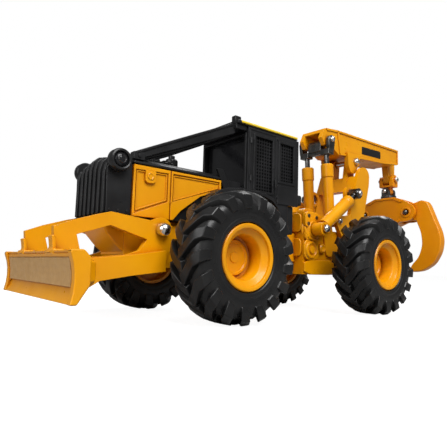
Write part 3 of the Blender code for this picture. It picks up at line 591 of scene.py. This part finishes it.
def cab_front():
    """Windscreen's frame, the roof plate and what lies on and under it."""
    edge = Shape()
    edge.block(21.6, 22.5, -13.4, 13.4, 47.2, 48.4)
    edge.block(21.6, 22.5, -13.4, 13.4, 68.2, 69.2)
    for y in (-13.0, 13.0):
        edge.block(21.6, 22.5, y - 0.55, y + 0.55, 47.2, 69.2)
    edge.done("windscreen_frame", "machine", "satin_black", 0.25)
    plate = [(-5.4, 71.9), (26.0, 71.9), (26.0, 72.8), (-5.4, 72.8)]
    Shape().plate(plate, -14.9, 14.9).done("cab_roof_plate", "machine", "roof_yellow", 0.3, 3,
                                           ("cab_roof",))
    lining = Shape().block(-5.8, 27.4, -14.4, 14.4, 71.5, 72.0)
    lining.block(25.9, 27.5, -14.9, 14.9, 71.5, 72.75)
    lining.block(22.2, 27.4, -13.6, 13.6, 69.6, 71.7)
    lining.done("cab_roof_lining", "machine", "satin_black", 0.3, 3)
    Shape().block(24.2, 27.2, 10.2, 12.6, 72.6, 75.0).done("cab_roof_box", "machine", "satin_black", 0.4, 3)


cab_front()

RISER_FOOT, RISER_HEAD = (67.2, 53.0), (28.2, 71.3)


def riser(sign, name):
    """Box bar with a rib along its top and a thinner bar tucked under it."""
    def down(point, depth):
        return (point[0] - 0.42 * depth, point[1] - 0.9 * depth)
    foot, head = RISER_FOOT, RISER_HEAD
    shape = Shape().plate([foot, head, (25.9, 71.4), down((28.2, 71.3), 3.6), down(foot, 2.4)],
                          *facing(sign, 9.7, 12.1))
    shape.plate([down(foot, -0.3), down(head, -0.3), down(head, 0.6), down(foot, 0.6)],
                *facing(sign, 10.0, 12.5))
    shape.block(63.9, 67.9, *facing(sign, 9.5, 12.3), 50.7, 53.2)
    shape.done(name + "_ribbed", "machine", "satin_black", 0.25, 3, (name,))
    Shape().tube([(62.0, sign * 8.9, 52.6), (44.0, sign * 8.9, 60.2), (27.5, sign * 8.9, 68.2)], 0.9,
                 16).done(
        name + "_inner_bar", "machine", "satin_black")
    Shape().turned([(0, 0), (0.7, 0), (0.6, 0.4), (0, 0.5)], (65.9, sign * 12.25, 52.0), "y", 16,
                   sign).done(
        name + "_bolt", "machine", "satin_black")


both("limb_riser", riser)


def exhaust():
    """Ribbed box on the hood, with its stack."""
    shape = Shape().block(48.2, 58.6, -4.3, 4.3, 51.4, 53.8)
    shape.turned([(0, 0), (2.2, 0), (2.3, 0.5), (2.3, 4.4), (1.9, 5.0), (0, 5.0)], (46.6, 0, 51.4), "z", 32)
    shape.turned([(0, 0), (1.2, 0), (1.2, 6.2), (0.9, 6.4), (0.9, 5.0), (0, 5.0)], (46.6, 0, 51.4), "z", 24)
    for x in (50.0, 52.2, 54.4, 56.6):
        shape.block(x - 0.4, x + 0.4, -4.6, 4.6, 51.6, 54.3)
    shape.done("exhaust_box_ribbed", "machine", "satin_black", 0.25, 3, ("exhaust_box",))


exhaust()

FENDER_LINE = [(41.0, 42.6), (38.5, 44.2), (35.0, 45.3), (30.0, 45.8), (22.0, 45.9), (17.2, 45.5),
               (13.4, 44.3), (11.2, 42.4), (9.8, 40.1)]


def fender(sign, name):
    """Curved mudguard with a turned-down outer edge."""
    def shell(thick, drop):
        under = [(x, z - thick) for x, z in reversed(FENDER_LINE)]
        return [(x, z - drop) for x, z in FENDER_LINE + under]
    shape = Shape().plate(shell(0.75, 0.0), *facing(sign, 14.0, 19.4))
    shape.plate(shell(1.2, 0.1), *facing(sign, 18.8, 19.6))
    shape.done(name + "_curved", "machine", "satin_black", 0.2, 3, (name,))
    Shape().plate([(35.0, 53.2), (32.2, 53.4), (28.7, 46.6), (31.5, 45.9)], *facing(sign, 11.3, 12.5)).done(
        name + "_cowl_plate", "machine", "satin_black", 0.18)
    Shape().plate([(-4.4, 32.0), (-0.4, 31.6), (-0.4, 43.4), (-4.4, 43.4)], *facing(sign, 9.8, 13.6)).done(
        name + "_rear_step", "machine", "satin_black", 0.5, 3)


both("fender", fender)


# ---------------------------------------------------------------- blade

def soft(outline, steps=2):
    """The outline with its corners cut off, more finely at each step."""
    for _ in range(steps):
        pairs = list(zip(outline, outline[1:] + outline[:1]))
        outline = [tuple(a + (b - a) * part for a, b in zip(one, two))
                   for one, two in pairs for part in (0.2, 0.8)]
    return outline


BOARD_BACK = [(90.0, 20.9), (87.7, 19.4), (87.7, 12.6), (90.2, 7.7)]
BOARD_FACE = [(92.1, 7.75), (90.9, 9.6), (90.45, 11.6), (90.5, 14.5), (90.7, 17.0), (91.0, 19.0),
              (91.9, 20.2), (92.2, 20.8)]
CHEEK = [(90.6, 7.7), (92.3, 7.7), (91.7, 10.5), (91.5, 13.0), (91.6, 15.6), (92.0, 17.8), (92.8, 20.2),
         (92.6, 21.0), (89.5, 21.0), (87.7, 19.2), (87.6, 12.4)]
PANEL = [(90.8, 11.8), (91.25, 11.9), (91.15, 13.5), (91.25, 15.5), (91.55, 17.5), (91.5, 17.8),
         (91.95, 18.9), (91.4, 19.1), (90.6, 16.0)]


def blade_pieces():
    """Moldboard with thick rounded cheeks, a lip round the panel and the panel itself."""
    sections = [-30.6 + 5.1 * k for k in range(13)]
    shape = Shape().loft([[(x, y, z) for x, z in BOARD_BACK + BOARD_FACE] for y in sections])
    shape.done("blade_board", "blade_body", "yellow_paint", 0.3, 3, ("blade",))
    cheeks = Shape()
    for sign in (-1, 1):
        cheeks.plate(CHEEK, *facing(sign, 30.0, 32.5))
    cheeks.done("blade_cheeks", "blade_body", "yellow_paint", 0.55, 4)
    lips = Shape().plate([(91.0, 19.1), (91.9, 19.1), (92.1, 20.0), (91.2, 20.0)], -30.2, 30.2)
    for sign in (-1, 1):
        lips.plate([(90.4, 11.2), (91.0, 11.2), (91.0, 14.0), (91.4, 17.4), (92.0, 19.6), (91.2, 19.6),
                    (90.4, 15.0)],
                   *facing(sign, 29.1, 30.1))
    lips.done("blade_panel_lip", "blade_body", "yellow_paint", 0.15, 2)
    Shape().plate(PANEL, -28.9, 28.9).done(
        "blade_panel_folded", "blade_body", "blade_tan", 0.08, 2, ("blade_panel",))


blade_pieces()


def blade_details(sign, name):
    """Gusset behind the board and the ear on top of it."""
    low = [(90.0, sign * 31.6, 10.2), (90.0, sign * 16.6, 11.0), (79.5, sign * 16.6, 12.4),
           (84.0, sign * 21.0, 11.6)]
    high = [(90.0, sign * 31.6, 18.6), (90.0, sign * 16.6, 18.6), (79.5, sign * 16.6, 18.9),
            (84.5, sign * 20.0, 18.4)]
    Shape().loft([low, high]).done(name + "_gusset", "blade_body", "yellow_paint", 1.0, 4)
    ear = [(92.7, 20.3), (92.0, 20.9), (91.7, 22.0), (91.9, 23.6), (92.2, 24.8), (91.6, 25.1), (91.0, 23.8),
           (90.8, 22.0), (90.6, 20.3)]
    Shape().plate(ear, *facing(sign, 12.0, 15.6)).done(name + "_ear", "blade_body", "yellow_paint", 0.28, 3)
    Shape().block(89.0, 92.2, *facing(sign, 10.6, 17.6), 19.6, 21.3).done(
        name + "_ear_foot", "blade_body", "yellow_paint", 0.5, 3)


both("blade", blade_details)


def domed_pin(name, body, node, point, reach, shaft, head, start):
    """Bright pin across the machine with a domed head at each end."""
    x, z = point
    side = [(0, reach), (head * 0.5, reach - 0.15 * head), (head * 0.85, reach - 0.45 * head),
            (head, reach - 0.9 * head), (head, start), (shaft, start)]
    profile = [(r, -y) for r, y in side] + [(r, y) for r, y in reversed(side)]
    Shape().turned(profile, (x, 0, z), "y", 40).done(name, body, "bright_pin", 0.0, 2, (node,))


def dome(name, body, centre, radius, axis="y", sign=1, slot="bright_pin"):
    """Domed end of a pin."""
    profile = [(0, 0), (radius * 0.97, 0), (radius, radius * 0.25), (radius * 0.85, radius * 0.6),
               (radius * 0.5, radius * 0.85), (0, radius * 0.97)]
    Shape().turned(profile, centre, axis, 32, sign).done(name, body, slot)


Shape().block(68.2, 76.4, -11.6, 11.6, 30.6, 33.0).done("grille_guard_pan", "machine", "satin_black", 0.4,
                                                        3)
NOSE = [(67.0, 32.2), (67.0, 21.0), (70.0, 23.2), (73.6, 27.0), (76.0, 31.2), (75.6, 32.3)]
Shape().plate(NOSE, -8.3, 8.3).done("front_frame_nose", "machine", "yellow_paint", 0.6, 4)

BLADE_PIVOT, ARCH_PIVOT, BOOM_PIVOT = (58.3, 29.0), (-46.0, 33.0), (-56.5, 72.9)
domed_pin("blade_pin_domed", "machine", "blade_pivot_pin", BLADE_PIVOT, 18.6, 1.5, 2.15, 15.1)
domed_pin("arch_pin_domed", "rear", "arch_pivot_pin", ARCH_PIVOT, 13.6, 1.5, 2.3, 12.1)
domed_pin("boom_pin_domed", "boom_body", "boom_pivot_pin", BOOM_PIVOT, 10.4, 1.3, 1.8, 8.6)


# ---------------------------------------------------------------- rear casting

ARCH_BASE, ARCH_EYE = (-21.0, 35.7), (-47.0, 54.5)      # ends of an arch cylinder
BOOM_BASE, BOOM_FOOT = (-38.5, 41.0), (-36.0, 75.0)     # ends of a boom cylinder
ARCH_CYLINDER_Y, BOOM_CYLINDER_Y = 14.5, 5.9


def rear_side(sign, name):
    """Bosses, cast lumps, flat dark discs painted as the shade in bolt holes, and moulded hoses on one side."""
    face = 9.4
    boss = [(0, 0), (4.3, 0), (4.0, 1.4), (3.5, 2.0), (2.9, 2.1), (2.5, 1.6), (1.8, 1.6), (1.5, 2.3),
            (0, 2.5)]
    shape = Shape().turned(boss, (-19.6, sign * face, 26.6), "y", 40, sign)
    shape.turned([(0, 0), (2.2, 0), (2.0, 1.4), (1.5, 1.8), (1.0, 1.4), (0, 1.4)],
                 (-27.4, sign * face, 27.6), "y", 32, sign)
    shape.turned([(0, 0), (2.6, 0), (2.3, 1.3), (1.2, 1.8), (0, 1.9)], (-18.0, sign * face, 33.2), "y", 32,
                 sign)
    shape.done(name + "_bosses", "rear", "yellow_paint", 0.0)
    lumps = Shape()
    lumps.plate(soft([(-15.3, 22.2), (-15.3, 31.2), (-24.6, 31.4), (-25.2, 22.2)]),
                *facing(sign, 9.0, 10.7))
    lumps.plate(soft([(-15.2, 35.6), (-15.2, 43.6), (-25.0, 43.0), (-24.4, 37.6)]),
                *facing(sign, 9.0, 11.2))
    lumps.plate(soft([(-37.0, 15.9), (-15.6, 15.9), (-15.6, 22.4), (-37.0, 22.4)], 1),
                *facing(sign, 9.0, 10.5))
    lumps.plate(soft([(-30.4, 24.0), (-28.8, 36.4), (-33.4, 42.0), (-35.6, 36.0), (-36.6, 24.0)]),
                *facing(sign, 9.0, 10.4))
    lumps.done(name + "_castings", "rear", "yellow_paint", 0.5, 4)
    fairing = []
    for grow, out in ((6.2, 9.2), (5.4, 9.9), (4.2, 10.8), (3.5, 11.5)):
        turns = [math.radians(15 * k) for k in range(24)]
        fairing.append([(ARCH_BASE[0] + grow * math.cos(a), sign * out, ARCH_BASE[1] + grow * math.sin(a))
                        for a in turns])
    Shape().loft(fairing).done(name + "_lug_fairing", "rear", "yellow_paint")
    # painted shade: flat dark steel discs stand for the shade inside bolt holes
    for k, (x, z) in enumerate(((-17.4, 41.4), (-22.6, 40.9), (-17.2, 37.9))):
        hole_shade_disc = [(0, 0), (0.85, 0), (0.85, 0.28), (0, 0.28)]
        Shape().turned(hole_shade_disc, (x, sign * 11.1, z), "y", 20, sign).done(f"{name}_bolt_{k + 1}", "rear",
                                                                      "dark_steel", 0.08)
    front = Shape()
    for z0, z1 in ((34.2, 42.6), (23.6, 31.6)):
        low, high = facing(sign, 3.2, 9.0)
        front.slab(soft([(low, z0), (high, z0), (high, z1), (low, z1)]), -15.6, -14.6)
    front.done(name + "_front_pads", "rear", "yellow_paint", 0.4, 3)
    Shape().plate(soft([(-16.0, 42.8), (-17.6, 45.0), (-22.6, 45.2), (-24.6, 42.6)]),
                  *facing(sign, 5.0, 8.6)).done(
        name + "_top_lump", "rear", "yellow_paint", 0.5, 4)
    hoses = Shape()
    hoses.tube([(-16.0, sign * 9.9, 36.5), (-16.2, sign * 10.5, 34.0), (-17.8, sign * 10.8, 31.9),
                (-21.0, sign * 10.7, 31.0), (-24.6, sign * 10.3, 31.6)], 0.62, 14)
    hoses.tube([(-15.8, sign * 9.9, 34.2), (-16.2, sign * 10.3, 32.2), (-18.2, sign * 10.4, 30.2),
                (-22.4, sign * 10.2, 29.3)], 0.5, 14)
    hoses.done(name + "_moulded_hoses", "rear", "yellow_paint")
    dome(name + "_cylinder_pin", "rear", (ARCH_BASE[0], sign * 17.7, ARCH_BASE[1]), 1.75, "y", sign)
    dome(name + "_lift_pin", "arch_body", (BOOM_BASE[0], sign * 11.7, BOOM_BASE[1]), 1.6, "y", sign)


both("rear_side", rear_side)


# ---------------------------------------------------------------- cylinders

def along(start, end, distance, y):
    """A point so far along a line in the XZ plane, at a given Y."""
    run = Vector((end[0] - start[0], end[1] - start[1])).normalized()
    return (start[0] + run.x * distance, y, start[1] + run.y * distance)


def cylinder_details(sign, name):
    """Collars on the barrels, and eyes and pins on the rods."""
    y = sign * ARCH_CYLINDER_Y
    collar = [along(ARCH_BASE, ARCH_EYE, d, y) for d in (22.2, 22.5, 25.0, 25.4)]
    Shape().tube(collar, [2.8, 2.95, 2.95, 2.8], 32).done(name + "_arch_collar", "arch_barrels",
                                                          "yellow_paint", 0.1)
    eye = Shape().turned([(0, -2.6), (1.4, -2.4), (2.2, -1.6), (2.6, 0.0), (2.2, 1.6), (1.4, 2.4),
                          (0, 2.6)],
                         (ARCH_EYE[0], y, ARCH_EYE[1]), "y", 32)
    eye.tube([along(ARCH_BASE, ARCH_EYE, d, y) for d in (29.3, 31.0)], [1.6, 1.9], 20)
    eye.done(name + "_arch_eye", "arch_rods", "dark_steel")
    dome(name + "_arch_eye_pin", "arch_rods", (ARCH_EYE[0], sign * 16.9, ARCH_EYE[1]), 1.35, "y", sign)
    y = sign * BOOM_CYLINDER_Y
    collar = [along(BOOM_BASE, BOOM_FOOT, d, y) for d in (21.0, 21.4, 27.1, 27.5)]
    Shape().tube(collar, [2.6, 2.95, 2.95, 2.6], 32).done(name + "_boom_collar", "boom_barrels",
                                                          "yellow_paint", 0.1)
    eye = [(-37.9, 75.2), (-37.2, 73.6), (-34.8, 73.6), (-34.1, 75.2)]
    eye += [(-36.0 + 2.4 * math.cos(a), 79.6 + 2.4 * math.sin(a)) for a in (math.radians(15 * k) for k in range(13))]
    Shape().plate(eye, *facing(sign, 7.3, 9.2)).done(name + "_crosshead_ear", "boom_rods_body",
                                                     "dark_steel", 0.35, 3)
    dome(name + "_crosshead_pin", "boom_rods_body", (-36.0, sign * 9.2, 80.0), 1.45, "y", sign)


# ---------------------------------------------------------------- boom

def boom_side(sign, name):
    """Raised lips round the boom's side, and a blank plate."""
    face = facing(sign, 6.6, 7.35)
    lips = Shape()
    lips.plate([(-35.0, 84.5), (-34.2, 85.6), (-43.2, 86.5), (-99.4, 87.4), (-99.4, 86.3), (-43.4, 85.4)],
               *face)
    lips.plate([(-46.0, 75.3), (-45.0, 74.4), (-55.5, 75.3), (-81.4, 76.8), (-98.0, 78.6), (-99.4, 79.2),
                (-99.4, 80.4), (-97.8, 79.7), (-81.2, 77.9), (-55.4, 76.4)], *face)
    lips.plate([(-99.4, 79.3), (-98.5, 79.3), (-98.5, 87.0), (-99.4, 87.0)], *face)
    lips.plate([(-44.2, 86.2), (-43.0, 86.2), (-45.0, 75.0), (-46.4, 75.0)], *face)
    lips.done(name + "_lips", "boom_body", "yellow_paint", 0.22, 3)
    Shape().plate([(-81.6, 79.3), (-64.2, 78.6), (-64.2, 82.6), (-81.6, 83.2)],
                  *facing(sign, 6.7, 6.98)).done(
        name + "_blank_plate", "boom_body", "satin_black", 0.08)


both("boom_side", boom_side)


# ---------------------------------------------------------------- grapple

HANG_X = -101.5
SWING_Z = 71.2
SWAY_Z = 64.4
TONG_HUB = (12.8, 51.2)


def grapple_details():
    """Pin heads, and the raised rims and bosses on the head's front and back."""
    hub_y, hub_z = TONG_HUB
    for sign, word in ((1, "left"), (-1, "right")):
        dome(f"swing_pin_{word}", "swing", (HANG_X, sign * 4.7, SWING_Z), 1.5, "y", sign)
        for way, end in ((1, "front"), (-1, "back")):
            dome(f"tong_pin_{word}_{end}", f"tong_{word}_body", (HANG_X + way * 5.0, sign * hub_y, hub_z),
                 1.35, "x", way,
                 "dark_steel")
    for way, end in ((1, "front"), (-1, "back")):
        dome(f"sway_pin_{end}", "sway", (HANG_X + way * 4.3, 0, SWAY_Z), 1.25, "x", way)
        pocket = Shape()
        x0, x1 = sorted((HANG_X + way * 4.4, HANG_X + way * 5.0))
        outer = [(-11.4, 57.4), (-6.0, 60.1), (6.0, 60.1), (11.4, 57.4)]
        inner = [(-9.4, 56.9), (-5.4, 59.0), (5.4, 59.0), (9.4, 56.9)]
        pocket.slab(outer + inner[::-1], x0, x1)
        pocket.slab([(-9.6, 46.6), (-4.2, 43.9), (4.2, 43.9), (9.6, 46.6), (8.4, 47.4), (3.8, 45.1),
                     (-3.8, 45.1), (-8.4, 47.4)], x0, x1)
        pocket.done(f"grapple_head_rim_{end}", "head", "orange_paint", 0.2, 2)
        for sign, word in ((1, "left"), (-1, "right")):
            Shape().turned([(1.75, 0), (2.9, 0), (2.9, 0.35), (2.6, 0.5), (2.0, 0.5), (1.75, 0.3)],
                           (HANG_X + way * 4.5, sign * hub_y, hub_z), "x", 36, way).done(
                f"tong_boss_{word}_{end}", "head", "orange_paint")


grapple_details()
both("cylinder", cylinder_details)


def crosshead():
    """Two rods, each with a forked head, held by a cross pin and a tie bar."""
    shape = Shape()
    for sign in (-1, 1):
        rod = [along(BOOM_BASE, BOOM_FOOT, d, sign * BOOM_CYLINDER_Y) for d in (13.2, 33.2)]
        shape.tube(rod, 1.2, 24)
        shape.plate([(-38.0, 72.8), (-34.0, 72.8), (-34.0, 75.6), (-38.0, 75.6)], *facing(sign, 3.8, 8.8))
    shape.plate([(-37.2, 73.6), (-34.8, 73.6), (-34.8, 75.4), (-37.2, 75.4)], -4.2, 4.2)
    shape.plate([(-37.9, 75.0), (-34.1, 75.0), (-34.1, 79.2), (-35.0, 80.5), (-37.0, 80.5), (-37.9, 79.2)],
                -3.8, 3.8)
    shape.done("boom_rods_forked", "boom_rods_body", "dark_steel", 0.3, 3, ("boom_rods",))


crosshead()

TONG = [(16.3, 56.3), (20.2, 57.6), (23.6, 56.2), (27.2, 46.4), (29.6, 40.5), (30.5, 35.4), (29.6, 29.4),
        (26.2, 23.2),
        (20.6, 19.4), (13.6, 18.4), (14.0, 21.9), (18.4, 26.6), (20.5, 33.0), (19.9, 40.0), (17.0, 47.2)]


def tong(sign, name):
    """Curved tong with softened edges, an arm round its hub, and its pin."""
    hub_y, hub_z = TONG_HUB
    hub = [(hub_y + 4.4 * math.cos(math.radians(a)), hub_z + 4.4 * math.sin(math.radians(a)))
           for a in range(-105, -275, -20)]
    Shape().slab(soft([(sign * y, z) for y, z in TONG]), HANG_X - 2.4, HANG_X + 2.4).done(
        name + "_curved", name + "_body", "orange_paint", 0.5, 4, (name,))
    arm = [(12.8, 55.6), (16.6, 56.4), (20.4, 57.0), (21.0, 50.0), (17.6, 46.6), (14.0, 46.9)] + hub
    Shape().slab([(sign * y, z) for y, z in arm], HANG_X - 2.3, HANG_X + 2.3).done(
        name + "_hub", name + "_body", "orange_paint", 0.3, 3)
    Shape().tube([(HANG_X + end, sign * hub_y, hub_z) for end in (-5.1, 5.1)], 1.2, 24).done(
        name + "_pin", name + "_body", "dark_steel")


both("tong", tong)


# ---------------------------------------------------------------- studio

floor_material = bpy.data.materials.new("floor_white")
floor_material.use_nodes = True
tree = floor_material.node_tree
tree.nodes.clear()
out = tree.nodes.new("ShaderNodeOutputMaterial")
path = tree.nodes.new("ShaderNodeLightPath")
shaded = tree.nodes.new("ShaderNodeBsdfDiffuse")
shaded.inputs["Color"].default_value = (0.85, 0.85, 0.85, 1)
glow = tree.nodes.new("ShaderNodeEmission")
glow.inputs["Color"].default_value = (1, 1, 1, 1)
glow.inputs["Strength"].default_value = 1.3
pale = tree.nodes.new("ShaderNodeMixShader")
pale.inputs["Fac"].default_value = 0.72
tree.links.new(shaded.outputs[0], pale.inputs[1])
tree.links.new(glow.outputs[0], pale.inputs[2])
bounce = tree.nodes.new("ShaderNodeBsdfDiffuse")
bounce.inputs["Color"].default_value = (0.3, 0.3, 0.3, 1)
chosen = tree.nodes.new("ShaderNodeMixShader")
tree.links.new(path.outputs["Is Camera Ray"], chosen.inputs["Fac"])
tree.links.new(bounce.outputs[0], chosen.inputs[1])
tree.links.new(pale.outputs[0], chosen.inputs[2])
tree.links.new(chosen.outputs[0], out.inputs["Surface"])
bpy.ops.mesh.primitive_plane_add(size=20, location=(0, 0, 0))
floor_sheet = bpy.context.object
floor_sheet.name = "floor"
floor_sheet.data.materials.append(floor_material)

world = bpy.data.worlds.new("studio")
world.use_nodes = True
tree = world.node_tree
back = tree.nodes["Background"]
back.inputs["Color"].default_value = (1, 1, 1, 1)
path = tree.nodes.new("ShaderNodeLightPath")
seen = tree.nodes.new("ShaderNodeMath")
seen.operation = "MAXIMUM"
tree.links.new(path.outputs["Is Camera Ray"], seen.inputs[0])
tree.links.new(path.outputs["Is Transmission Ray"], seen.inputs[1])
level = tree.nodes.new("ShaderNodeMapRange")
level.inputs["To Min"].default_value = 0.2
level.inputs["To Max"].default_value = 1.0
tree.links.new(seen.outputs[0], level.inputs["Value"])
tree.links.new(level.outputs["Result"], back.inputs["Strength"])
bpy.context.scene.world = world

for lamp_name, watts, size, spot in (("key", 4.8, 0.4, (0.12, 0.42, 0.50)),
                                     ("fill", 1.3, 0.35, (0.55, 0.10, 0.22)),
                                     ("rim", 2.0, 0.4, (-0.40, -0.25, 0.45))):
    light = bpy.data.lights.new(lamp_name, "AREA")
    light.energy = watts
    light.size = size
    lamp_object = bpy.data.objects.new(lamp_name, light)
    lamp_object.location = spot
    aim = Vector((0, 0, 0.035)) - Vector(spot)
    lamp_object.rotation_euler = aim.to_track_quat("-Z", "Y").to_euler()
    bpy.context.scene.collection.objects.link(lamp_object)


# ---------------------------------------------------------------- camera

CAMERA_POINT = (128.83, 132.9, 17.48)
YAW = 38.99
PITCH = 5.91
ROLL = 1.77
FOCAL_LENGTH = 34.83
SENSOR_WIDTH = 36
yaw, pitch, roll = (math.radians(angle) for angle in (YAW, PITCH, ROLL))
ahead = Vector((-math.sin(yaw) * math.cos(pitch), -math.cos(yaw) * math.cos(pitch), math.sin(pitch)))
right = ahead.cross(Vector((0, 0, 1))).normalized()
up = right.cross(ahead)
across = right * math.cos(roll) + up * math.sin(roll)
top = up * math.cos(roll) - right * math.sin(roll)
lens = bpy.data.cameras.new("camera")
lens.lens = FOCAL_LENGTH
lens.sensor_width = SENSOR_WIDTH
lens.clip_start = 0.005
camera = bpy.data.objects.new("camera", lens)
turn = Matrix((across, top, -ahead)).transposed().to_4x4()
camera.matrix_world = Matrix.Translation(place(CAMERA_POINT)) @ turn
bpy.context.scene.collection.objects.link(camera)
bpy.context.scene.camera = camera
bpy.context.scene.view_settings.view_transform = "Standard"
